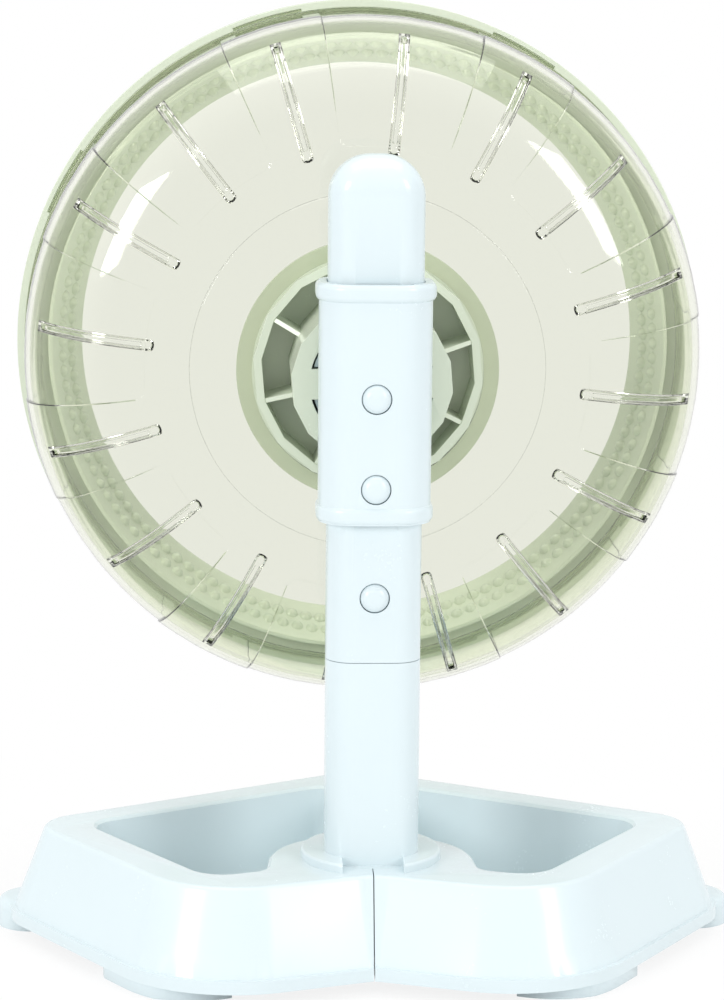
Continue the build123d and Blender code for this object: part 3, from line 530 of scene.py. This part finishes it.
def worked_steel(name, rgb, roughness, grit, stretch):
    """Steel with the marks of how it was finished. The eye sees a grey mirror that is drawn
    out along fine lines, a little duller where the lines lie close."""
    material, tree, output = new_material(name)
    place = add_node(tree, "ShaderNodeTexCoord").outputs["Object"]
    along = add_node(tree, "ShaderNodeMapping", {"Vector": place, "Scale": stretch})
    lines = add_node(
        tree, "ShaderNodeTexNoise", {"Vector": along.outputs[0], "Scale": per_metre(grit), "Detail": 4.0}
    )
    gloss = add_node(
        tree,
        "ShaderNodeMapRange",
        {"Value": lines.outputs["Fac"], "To Min": roughness * 0.7, "To Max": roughness * 1.5},
    )
    tint = add_node(
        tree,
        "ShaderNodeMix",
        {0: lines.outputs["Fac"], 6: shade(rgb, 0.9), 7: shade(rgb, 1.06)},
        data_type="RGBA",
    )
    scratches = add_node(
        tree, "ShaderNodeBump", {"Height": lines.outputs["Fac"], "Strength": 0.2, "Distance": 0.01 * MM}
    )
    shader = add_node(
        tree,
        "ShaderNodeBsdfPrincipled",
        {
            "Base Color": tint.outputs[2],
            "Roughness": gloss.outputs[0],
            "Normal": scratches.outputs[0],
            "Metallic": 1.0,
        },
    )
    tree.links.new(shader.outputs[0], output.inputs[0])
    return material


def studio_floor(name, rgb):
    """Matt studio paper. It takes the wheel's shadow near by and is plain white further off,
    where the camera, a reflection or the clear drum looks at it."""
    material, tree, output = new_material(name)
    place = add_node(tree, "ShaderNodeTexCoord").outputs["Object"]
    fibre = add_node(tree, "ShaderNodeTexNoise", {"Vector": place, "Scale": per_metre(3), "Detail": 3.0})
    tint = add_node(
        tree,
        "ShaderNodeMix",
        {0: fibre.outputs["Fac"], 6: shade(rgb, 0.995), 7: shade(rgb, 1.005)},
        data_type="RGBA",
    )
    paper = add_node(tree, "ShaderNodeBsdfDiffuse", {"Color": tint.outputs[2]})
    white = add_node(tree, "ShaderNodeEmission", {"Color": (1, 1, 1, 1), "Strength": 1.0})
    distance = add_node(tree, "ShaderNodeVectorMath", {0: place}, operation="LENGTH")
    far = add_node(
        tree,
        "ShaderNodeMapRange",
        {
            "Value": distance.outputs["Value"],
            "From Min": 0.12,
            "From Max": 0.22,
            "To Min": 0.86,
            "To Max": 1.0,
        },
        interpolation_type="SMOOTHSTEP",
    )
    seen = seen_directly(tree)
    factor = add_node(tree, "ShaderNodeMath", {0: far.outputs[0], 1: seen}, operation="MULTIPLY")
    mixed = add_node(
        tree, "ShaderNodeMixShader", {0: factor.outputs[0], 1: paper.outputs[0], 2: white.outputs[0]}
    )
    tree.links.new(mixed.outputs[0], output.inputs[0])
    return material


def seen_directly(tree):
    """1 for a ray from the camera, off a mirror or through something clear, otherwise 0."""
    rays = add_node(tree, "ShaderNodeLightPath")
    either = add_node(
        tree,
        "ShaderNodeMath",
        {0: rays.outputs["Is Camera Ray"], 1: rays.outputs["Is Glossy Ray"]},
        operation="ADD",
        use_clamp=True,
    )
    return add_node(
        tree,
        "ShaderNodeMath",
        {0: either.outputs[0], 1: rays.outputs["Is Transmission Ray"]},
        operation="ADD",
        use_clamp=True,
    ).outputs[0]


finishes = {}


def finish(kind):
    """Material of one finish, made when it is first asked for."""
    colours = bpy.context.scene.wheel.colours
    makers = {
        "pale_blue_plastic": lambda: moulded_abs("moulded ABS, pale blue", colours.pale_blue),
        "pale_green_plastic": lambda: moulded_abs("moulded ABS, pale green", colours.pale_green),
        "clear_plastic": lambda: clear_polystyrene("clear polystyrene", colours.clear),
        "bearing_steel": lambda: worked_steel("ground bearing steel", colours.steel, 0.12, 0.8, (1, 12, 1)),
        "spring_steel": lambda: worked_steel("rolled spring steel", colours.spring, 0.28, 1.2, (1, 1, 9)),
        "zinc_plated_steel": lambda: worked_steel("zinc-plated steel", colours.zinc, 0.22, 1.5, (1, 3, 1)),
    }
    if kind not in finishes:
        finishes[kind] = makers[kind]()
    return finishes[kind]


# The clear drum

def build_drum(sizes):
    """Closed drum as one grid. A row is a place along the moulding's section and a column a turn
    round the axis. Outside, the point is base + outward * (bead + step - panel or groove);
    inside it is base - outward * (wall + rib - step)."""
    back = drum_back + sizes.step
    length_in_y = drum_front - back
    slope = math.atan2(sizes.mouth_radius - sizes.corner_end_radius, length_in_y - sizes.corner)
    wall_at_back = sizes.mouth_radius - length_in_y * math.tan(slope)
    turn_end = math.pi / 2 - slope
    arc_radius = sizes.corner
    centre = np.array([wall_at_back - arc_radius * math.tan(turn_end / 2), back + arc_radius])

    # Rows: path is the distance along the base section from the hole.
    flat_end = centre[0] - sizes.hole_radius
    arc_end = flat_end + arc_radius * turn_end
    wall_end = arc_end + (sizes.mouth_radius - centre[0] - arc_radius * math.sin(turn_end)) / math.sin(slope)

    def path_of_radius(radius):
        return radius - sizes.hole_radius

    def path_of_place(place):
        """Path at a place along the axis, counted from the drum's raised back."""
        drop = drum_back + place - back
        on_arc = flat_end + arc_radius * np.arccos(np.clip(1 - drop / arc_radius, -1, 1))
        on_wall = wall_end - (length_in_y - drop) / math.cos(slope)
        return on_arc if on_arc < arc_end else on_wall

    step_at = path_of_radius(sizes.step_radius)
    seat_end = path_of_radius(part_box("hub")[1][0] + 0.4 * MM)
    rib_start = path_of_radius(sizes.rib_inner_radius)
    panel_start = path_of_radius(sizes.panel_inner_radius)
    rib_stop = path_of_place(sizes.rib_end)
    groove_start = rib_start + 2 * sizes.rib_half_width
    groove_stop = rib_stop - 2 * sizes.rib_half_width
    panel_stop = wall_end - sizes.panel_end
    bead_at = wall_end - sizes.bead_start
    bead_stop = bead_at + sizes.bead_width
    # Rows stand close together, at distances in millimetres, where the section turns or steps.
    clusters = [
        np.linspace(0, step_at, 7),
        step_at + np.array([0.12, 0.25, 0.38, 0.5, 0.7]) * MM,
        rib_start + np.array([-0.6, 0, 0.04, 0.16, 0.36, 0.65, 1.05, 1.65]) * MM,
        panel_start + np.array([-0.14, -0.05, 0.05, 0.14, 0.5, 1.1, 1.8, 2.6, 3.2]) * MM,
        groove_start + np.array([0, 0.1, 0.35, 0.85]) * MM,
        groove_stop + np.array([-0.85, -0.35, -0.1, 0]) * MM,
        rib_stop + np.array([-0.6, -0.3, -0.12, 0, 0.05, 0.6]) * MM,
        panel_stop + np.array([-3.2, -2.6, -1.8, -1.1, -0.5, -0.14, -0.05, 0.05, 0.14]) * MM,
        bead_at + np.array([-0.3, 0, 0.04, 0.2]) * MM,
        [bead_at + sizes.bead_width / 2, bead_stop - 0.04 * MM, bead_stop + 0.2 * MM],
        np.arange(step_at + 2.5 * MM, rib_start, 3.5 * MM),
        np.arange(panel_start + 4 * MM, panel_stop - 4 * MM, 3.4 * MM),
        [wall_end - mouth_easing],
    ]
    path = np.unique(np.round(np.concatenate(clusters), 8))
    keep = np.concatenate([[True], np.diff(path) > 0.02 * MM])
    path = path[keep]

    on_arc = np.clip((path - flat_end) / arc_radius, 0, turn_end)
    beyond = np.clip(path - arc_end, 0, None)
    before = np.clip(path, None, flat_end) - flat_end
    outward = np.stack([np.sin(on_arc), -np.cos(on_arc)], axis=-1)
    tangent = np.stack([math.sin(slope), math.cos(slope)])
    base = centre + arc_radius * outward + beyond[:, None] * tangent
    base[:, 0] += before

    # Columns: each is a fixed turn plus a fixed sideways distance, so ribs keep their width.
    half = sizes.rib_half_width / MM
    groove = sizes.groove_half_width / MM
    rib_steps = np.array([0, 0.5 * groove, 0.8 * groove, 0.97 * groove, 1.03 * groove, 1.15 * groove])
    rib_steps = np.concatenate([rib_steps, half - np.array([0.42, 0.2, 0.07, 0, -0.04, -0.5])])
    rib_steps = np.unique(np.concatenate([-rib_steps, rib_steps])) * MM
    edge = sizes.panel_half_angle
    pitch = 2 * math.pi / sizes.rib_pairs
    edge_steps = np.array([-0.14, -0.05, 0.05, 0.14]) * MM
    corner_turns = np.radians([2.8, 2.1, 1.5, 1.0, 0.6])
    fills = [math.radians(value) for value in (5.2, 6.8, 8.5, 10.2)]
    between = [edge + math.radians(1.6), pitch / 2 - math.radians(5.2)]
    turns = []
    for centre_turn in (0, pitch / 2):
        turns += [(centre_turn, value) for value in rib_steps]
    for side in (-1, 1):
        turns += [(side * edge, value) for value in edge_steps]
        turns += [(side * (edge - value), 0.0) for value in corner_turns]
        turns += [(side * value, 0.0) for value in fills + between]
    turns = np.array(turns)
    order = np.argsort((turns[:, 0] + turns[:, 1] / (80 * MM)) % pitch)
    turns = turns[order]
    starts = np.where(turns[:, 0] < -1e-9, turns[:, 0] + pitch, turns[:, 0])
    starts = np.where((starts < 1e-9) & (turns[:, 1] < 0), starts + pitch, starts)
    offsets = turns[:, 1]
    period = np.arange(sizes.rib_pairs)[:, None] * pitch
    column_turn = (starts[None, :] + period).ravel()
    column_offset = np.tile(offsets, sizes.rib_pairs)

    radius = base[:, 0][:, None]
    place = path[:, None]
    turn = column_turn[None, :] + column_offset[None, :] / radius

    # Sideways distance from the nearest rib, and from the nearest panel's middle line.
    rib_turn = (turn + pitch / 4) % (pitch / 2) - pitch / 4
    across_rib = np.abs(rib_turn) * radius
    panel_turn = (turn + pitch / 2) % pitch - pitch / 2
    outside_panel_turn = (np.abs(panel_turn) - edge) * radius

    # A rib's section is a flat top whose edges fall as a quarter ellipse. Its inner tip is round:
    # there the distance from the rib's middle line is that from the line's end.
    rounding = 0.45 * sizes.rib_height
    past_tip = np.clip(rib_start + sizes.rib_half_width - place, 0, None)
    from_line = np.hypot(across_rib, past_tip)
    side = np.clip((from_line - (sizes.rib_half_width - rounding)) / rounding, 0, 1)
    rib = sizes.rib_height * np.sqrt(1 - side**2) * (place <= rib_stop + 0.01 * MM)
    # A groove is cut with a ball-ended tool: its floor is round across and at both ends.
    before_start = groove_start + sizes.groove_half_width - place
    run = np.maximum(before_start, place - groove_stop + sizes.groove_half_width)
    away = np.hypot(across_rib, np.clip(run, 0, None)) / sizes.groove_half_width
    groove_cut = sizes.groove_depth * np.clip(1 - away**4, 0, 1) ** 0.4
    # A panel is a rounded rectangle: the distance to it is that to its inset box less the radius.
    along = np.maximum(panel_start - place, place - panel_stop)
    inset_u = np.clip(outside_panel_turn + sizes.panel_corner, 0, None)
    inset_v = np.clip(along + sizes.panel_corner, 0, None)
    distance = np.hypot(inset_u, inset_v) - sizes.panel_corner
    inner = np.minimum(np.maximum(outside_panel_turn, along) + sizes.panel_corner, 0)
    panel = sizes.panel_depth * (1 - smoothstep(-panel_edge, panel_edge, distance + inner))
    raised = sizes.step * (1 - smoothstep(step_at, step_at + step_fall, place))
    bead_fall = np.clip((bead_stop - place) / (sizes.bead_width / 2), 0, 1)
    bead = sizes.bead_height * bead_fall * (place >= bead_at)

    outer_height = raised + bead - np.maximum(panel, groove_cut)
    # Round the hole the wall stays just clear of the hub's flange that it sits on.
    seat = sizes.seat_gap * (1 - smoothstep(seat_end, seat_end + 1.0 * MM, place))
    inner_depth = sizes.wall + rib - raised - seat
    # The mouth's edge is eased by pulling the last rows in.
    easing = mouth_easing * smoothstep(wall_end - mouth_easing, wall_end, place)

    def offset_surface(height):
        moved_radius = radius + outward[:, 0][:, None] * height
        moved_place = base[:, 1][:, None] + outward[:, 1][:, None] * height
        return around_axis(moved_radius, moved_place, turn + sizes.rib_phase)

    outer = offset_surface(outer_height - easing)
    inner_side = offset_surface(-(inner_depth - easing))
    points = np.concatenate([outer, inner_side[::-1]])
    return grid_surface("drum_shell", points, sharp_angle=math.radians(38))


# The front ring

def build_front_ring(sizes):
    """Ring turned from a rounded section, whose hooks are cut back between the snap zones:
    there the hook's radius is the skirt's inner radius."""
    skirt_inner = lip_radius - sizes.skirt_wall
    hook = skirt_inner - sizes.hook_depth
    back = ring_back
    front = ring_front
    shoulder = back + ring_shoulder
    crest = back + ring_crest
    crest_radius = lip_radius - ring_crest_inset
    opening = lip_radius - ring_opening_inset
    cone = lip_radius - ring_cone_inset
    face_back = back + ring_face_back
    hook_end = back + ring_hook_end
    corners = [
        (lip_radius, back, 0.25 * MM),
        (lip_radius, shoulder, 2.0 * MM),
        (crest_radius, crest, 8.0 * MM),
        (opening + 1.0 * MM, front, 0.9 * MM),
        (opening, front - 1.0 * MM, 0.5 * MM),
        (cone, back, 0.5 * MM),
        (cone + ring_wall_step, back, 0.5 * MM),
        (cone - ring_wall_step, shoulder - ring_wall_step, 0.6 * MM),
        (crest_radius, face_back + ring_wall_step, 0.6 * MM),
        (skirt_inner, face_back, 0.2 * MM),
        (skirt_inner, hook_end, 0),
        (hook, hook_end, 0.2 * MM),
        (hook, back, 0.2 * MM),
    ]
    profile = rounded_profile(corners)
    # Long straight runs get rows in between, so that the surface shades evenly.
    ahead = np.roll(profile, -1, axis=0)
    gaps = np.linalg.norm(ahead - profile, axis=1)
    counts = np.maximum(1, np.ceil(gaps / ring_row_length).astype(int))
    starts = np.repeat(profile, counts, axis=0)
    ends = np.repeat(ahead, counts, axis=0)
    within = np.concatenate([np.arange(count) / count for count in counts])[:, None]
    section = starts + (ends - starts) * within

    pairs = bpy.context.scene.wheel.drum.rib_pairs
    phase = bpy.context.scene.wheel.drum.rib_phase
    pitch = 2 * math.pi / pairs
    fine = np.arange(0, 36) / 36 * pitch
    edges = pitch / 2 + sizes.slot_half_angle * np.array([-1, 1])[:, None] + np.array([-1, 1]) * 2e-4
    turns = np.unique(np.concatenate([fine, edges.ravel()]))
    turn = (turns[None, :] + np.arange(pairs)[:, None] * pitch).ravel()
    from_middle = np.abs((turn % pitch) - pitch / 2)
    cut = (from_middle < sizes.slot_half_angle)[None, :]
    radius = section[:, 0][:, None]
    place = section[:, 1][:, None]
    is_hook = (place <= hook_end + 1e-6) & (radius > cone + 3 * MM) & (radius < skirt_inner)
    radius = np.where(cut & is_hook, skirt_inner, radius)
    points = around_axis(radius, place, turn[None, :] + phase)
    return grid_surface("front_ring_moulding", points, sharp_angle=math.radians(35)), cone, opening


def build_track_bumps(sizes, cone, opening):
    """Two staggered rows of low bumps on the lead-in cone. A bump is a dome: at a distance q
    from its middle, as a share of its radius, it stands height * (1 - q^2) over the cone."""
    start = np.array([cone, ring_back + 0.6 * MM])
    end = np.array([opening, ring_front - 1.6 * MM])
    run = (end - start) / np.linalg.norm(end - start)
    outward = np.array([-run[1], run[0]])
    outward = outward * np.sign(-outward[0])
    spans = np.linalg.norm(end - start)
    rings = np.array([0, 0.3, 0.55, 0.78, 0.93, 1.0])
    spokes = np.linspace(0, 2 * math.pi, 9)[:-1]
    along = (rings[:, None] * np.cos(spokes)[None, :]).ravel() * sizes.bump_radius
    across = (rings[:, None] * np.sin(spokes)[None, :]).ravel() * sizes.bump_radius
    height = np.repeat(sizes.bump_height * (1 - rings**2) - 0.08 * MM * (rings > 0.99), len(spokes))
    faces = grid_faces(len(rings), len(spokes), False)
    count = sizes.bump_count
    turn = np.arange(count)[:, None] * 2 * math.pi / count
    points = []
    for row, share in enumerate((0.3, 0.62)):
        middle_point = start + run * spans * share
        section = middle_point + along[:, None] * run + height[:, None] * outward
        radius = section[:, 0][None, :]
        place = section[:, 1][None, :]
        shift = row * math.pi / count
        points.append(around_axis(radius, place, turn + shift + across[None, :] / radius).reshape(-1, 3))
    points = np.concatenate(points)
    bumps = 2 * count
    every = (faces[None, :, :] + (np.arange(bumps) * len(along))[:, None, None]).reshape(-1, 4)
    mesh = mesh_of("track_bumps", points, every)
    finish_mesh(mesh, math.radians(60), merge=1e-8)
    piece = bpy.data.objects.new("track_bumps", mesh)
    bpy.context.scene.collection.objects.link(piece)
    return piece


# Operators

class WHEEL_OT_make_base(bpy.types.Operator):
    """Finishes the two food bowls, the clamp disc and the screws under the base."""

    bl_idname = "wheel.make_base"
    bl_label = "Make the base"

    def execute(self, context):
        blue = finish("pale_blue_plastic")
        for node in ("left_bowl", "right_bowl"):
            moulded_copy(node, blue, 0.3 * MM)
        moulded_copy("clamp_disc", blue, 0.25 * MM)
        moulded_copy("base_screws", finish("zinc_plated_steel"), 0.1 * MM)
        return {"FINISHED"}


class WHEEL_OT_make_post(bpy.types.Operator):
    """Finishes the post's lower and upper pieces and the spring behind its button."""

    bl_idname = "wheel.make_post"
    bl_label = "Make the post"

    def execute(self, context):
        blue = finish("pale_blue_plastic")
        moulded_copy("post_foot", blue, 0.25 * MM)
        moulded_copy("post_upper", blue, 0.25 * MM)
        moulded_copy("post_button_spring", finish("spring_steel"), 0)
        return {"FINISHED"}


class WHEEL_OT_make_sleeve(bpy.types.Operator):
    """Finishes the sleeve that slides on the post, with its springs and their brackets."""

    bl_idname = "wheel.make_sleeve"
    bl_label = "Make the sleeve"

    def execute(self, context):
        moulded_copy("sleeve", finish("pale_blue_plastic"), 0.25 * MM)
        for node in ("spring_brackets", "lower_button_spring", "upper_button_spring"):
            moulded_copy(node, finish("spring_steel"), 0)
        return {"FINISHED"}


class WHEEL_OT_make_buttons(bpy.types.Operator):
    """Finishes the three domed press buttons."""

    bl_idname = "wheel.make_buttons"
    bl_label = "Make the buttons"

    def execute(self, context):
        for node in ("lower_button", "upper_button", "post_button"):
            moulded_copy(node, finish("pale_blue_plastic"), 0.1 * MM)
        return {"FINISHED"}


class WHEEL_OT_make_bearings(bpy.types.Operator):
    """Finishes the axle, its screw and washer, and the two ball bearings."""

    bl_idname = "wheel.make_bearings"
    bl_label = "Make the bearings"

    def execute(self, context):
        for node in ("axle", "axle_washer", "axle_screw"):
            moulded_copy(node, finish("zinc_plated_steel"), 0.1 * MM)
        steel = finish("bearing_steel")
        for part in ("inner_rings", "outer_rings", "shields", "balls", "cages"):
            moulded_copy(f"bearing_{part}", steel, 0)
        moulded_copy("bearing_spacer", finish("pale_green_plastic"), 0.1 * MM)
        moulded_copy("retaining_ring", finish("spring_steel"), 0)
        return {"FINISHED"}


class WHEEL_OT_make_hub(bpy.types.Operator):
    """Finishes the hub, its cap and the pale blue bearing carrier inside its collar."""

    bl_idname = "wheel.make_hub"
    bl_label = "Make the hub"

    def execute(self, context):
        moulded_copy("hub", finish("pale_green_plastic"), 0.25 * MM)
        moulded_copy("hub_cap", finish("pale_green_plastic"), 0.2 * MM)
        moulded_copy("bearing_carrier", finish("pale_blue_plastic"), 0.15 * MM)
        return {"FINISHED"}


class WHEEL_OT_make_drum(bpy.types.Operator):
    """Makes the clear drum, with its ribs, grooves, sunk panels and snap bead."""

    bl_idname = "wheel.make_drum"
    bl_label = "Make the drum"

    def execute(self, context):
        clear = finish("clear_plastic")
        set_material("drum", clear)
        drum = build_drum(context.scene.wheel.drum)
        place_piece(drum, "wheel", clear, "clear_plastic", "drum")
        return {"FINISHED"}


class WHEEL_OT_make_front_ring(bpy.types.Operator):
    """Makes the front ring, with its snap hooks and the bumps on its lead-in cone."""

    bl_idname = "wheel.make_front_ring"
    bl_label = "Make the front ring"

    def execute(self, context):
        green = finish("pale_green_plastic")
        set_material("front_ring", green)
        sizes = context.scene.wheel.ring
        ring, cone, opening = build_front_ring(sizes)
        place_piece(ring, "wheel", green, "pale_green_plastic", "front_ring")
        bumps = build_track_bumps(sizes, cone, opening)
        place_piece(bumps, "wheel", green, "pale_green_plastic")
        return {"FINISHED"}


class WHEEL_OT_make_stage(bpy.types.Operator):
    """Makes the floor, the lamps, the white surroundings and the camera."""

    bl_idname = "wheel.make_stage"
    bl_label = "Make the stage"

    def execute(self, context):
        make_floor()
        make_lamps(context.scene.wheel.studio)
        make_world(context.scene.wheel.studio)
        make_camera()
        context.scene.view_settings.view_transform = "Standard"
        return {"FINISHED"}


def make_floor():
    """Large flat floor, a disc of rings that grow with their distance from the wheel."""
    radius = np.linspace(0, 1, 24)[:, None] ** 2 * floor_radius
    turn = np.linspace(0, 2 * math.pi, 65)[None, :-1]
    points = np.stack([radius * np.sin(turn), radius * np.cos(turn), np.zeros_like(radius * turn)], axis=-1)
    floor = grid_surface("floor", points, wrap_rows=False)
    floor.data.flip_normals()
    if floor.data.polygons[0].normal.z < 0:
        floor.data.flip_normals()
    floor.data.materials.append(studio_floor("studio paper", bpy.context.scene.wheel.colours.floor))


def make_lamps(studio):
    """Two tall softboxes in front and a wide one overhead, all aimed at the wheel's middle."""
    target = Vector(lamp_target)
    lamps = [
        ("left_softbox", left_place, left_size, studio.left_power),
        ("right_softbox", right_place, right_size, studio.right_power),
        ("top_softbox", top_place, top_size, studio.top_power),
    ]
    for name, place, size, power in lamps:
        light = bpy.data.lights.new(name, "AREA")
        light.shape = "RECTANGLE"
        light.size, light.size_y = size
        light.energy = power
        lamp = bpy.data.objects.new(name, light)
        lamp.location = place
        lamp.rotation_euler = (target - lamp.location).to_track_quat("-Z", "Y").to_euler()
        bpy.context.scene.collection.objects.link(lamp)


def make_world(studio):
    """White surroundings to the camera and in reflections, and an even fill for matt surfaces."""
    world = bpy.data.worlds.new("white studio")
    world.use_nodes = True
    tree = world.node_tree
    tree.nodes.clear()
    output = add_node(tree, "ShaderNodeOutputWorld")
    fill = add_node(tree, "ShaderNodeBackground", {"Color": (1, 1, 1, 1), "Strength": studio.fill})
    white = add_node(tree, "ShaderNodeBackground", {"Color": (1, 1, 1, 1), "Strength": 1.0})
    mixed = add_node(
        tree, "ShaderNodeMixShader", {0: seen_directly(tree), 1: fill.outputs[0], 2: white.outputs[0]}
    )
    tree.links.new(mixed.outputs[0], output.inputs[0])
    bpy.context.scene.world = world


def make_camera():
    """Camera behind the post, a little to its left and looking slightly down."""
    yaw = math.radians(camera_yaw)
    pitch = math.radians(camera_pitch)
    roll = math.radians(camera_roll)
    across = -math.sin(yaw) * math.cos(pitch)
    ahead = Vector((across, math.cos(yaw) * math.cos(pitch), -math.sin(pitch)))
    level = Vector((math.cos(yaw), math.sin(yaw), 0))
    above = level.cross(ahead)
    right = math.cos(roll) * level + math.sin(roll) * above
    up = -math.sin(roll) * level + math.cos(roll) * above
    data = bpy.data.cameras.new("photo_camera")
    data.lens = camera_lens
    camera = bpy.data.objects.new("photo_camera", data)
    turned = Matrix((right, up, -ahead)).transposed().to_4x4()
    camera.matrix_world = Matrix.Translation(Vector(camera_place)) @ turned
    bpy.context.scene.collection.objects.link(camera)
    bpy.context.scene.camera = camera


class WHEEL_PT_panel(bpy.types.Panel):
    """Lists the wheel's settings and the operators that make its pieces."""

    bl_idname = "WHEEL_PT_panel"
    bl_label = "Exercise Wheel"
    bl_space_type = "VIEW_3D"
    bl_region_type = "UI"
    bl_category = "Wheel"

    def draw(self, context):
        wheel = context.scene.wheel
        for group in (wheel.drum, wheel.ring, wheel.colours, wheel.studio):
            box = self.layout.box()
            for name in group.bl_rna.properties.keys():
                if name not in ("rna_type", "name"):
                    box.prop(group, name)
        for operator in operators:
            self.layout.operator(operator.bl_idname)


operators = (
    WHEEL_OT_make_base,
    WHEEL_OT_make_post,
    WHEEL_OT_make_sleeve,
    WHEEL_OT_make_buttons,
    WHEEL_OT_make_bearings,
    WHEEL_OT_make_hub,
    WHEEL_OT_make_drum,
    WHEEL_OT_make_front_ring,
    WHEEL_OT_make_stage,
)
settings_groups = (DrumSizes, RingSizes, FinishColours, StudioSettings, WheelSettings)
classes = (*settings_groups, *operators, WHEEL_PT_panel)


def register():
    """Registers the classes and hangs the settings on the scene."""
    for item in classes:
        bpy.utils.register_class(item)
    bpy.types.Scene.wheel = PointerProperty(type=WheelSettings)


def unregister():
    """Takes the settings and the classes away again."""
    del bpy.types.Scene.wheel
    for item in reversed(classes):
        bpy.utils.unregister_class(item)


def main():
    """Makes every piece in order."""
    register()
    for operator in operators:
        group, name = operator.bl_idname.split(".")
        getattr(getattr(bpy.ops, group), name)()


if __name__ == "__main__":
    main()
